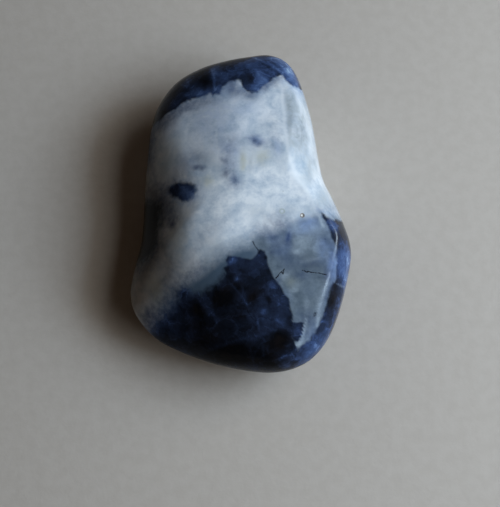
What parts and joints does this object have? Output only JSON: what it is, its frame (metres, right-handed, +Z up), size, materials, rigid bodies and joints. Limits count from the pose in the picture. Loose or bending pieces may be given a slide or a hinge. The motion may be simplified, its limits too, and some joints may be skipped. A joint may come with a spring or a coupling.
{
  "type": "tumbled sodalite pebble",
  "caption": "Tumbled and polished pebble of blue and white sodalite, rounded and oblong, with one crisp shoulder ridge; lies on a small flat spot.",
  "frame": {"origin": "middle of the pebble's box, at the level of the flat spot it rests on", "axes": "+Z up, +Y along the pebble's long way, +X towards its steep ridged flank"},
  "size_m": [0.0246, 0.0374, 0.0136],
  "materials": {
    "polished_sodalite": "tumble-polished, glossy, with fine wear marks; white, pale blue and navy patches"
  },
  "bodies": {
    "root": {"sodalite_pebble": "polished_sodalite"}
  },
  "joints": []
}
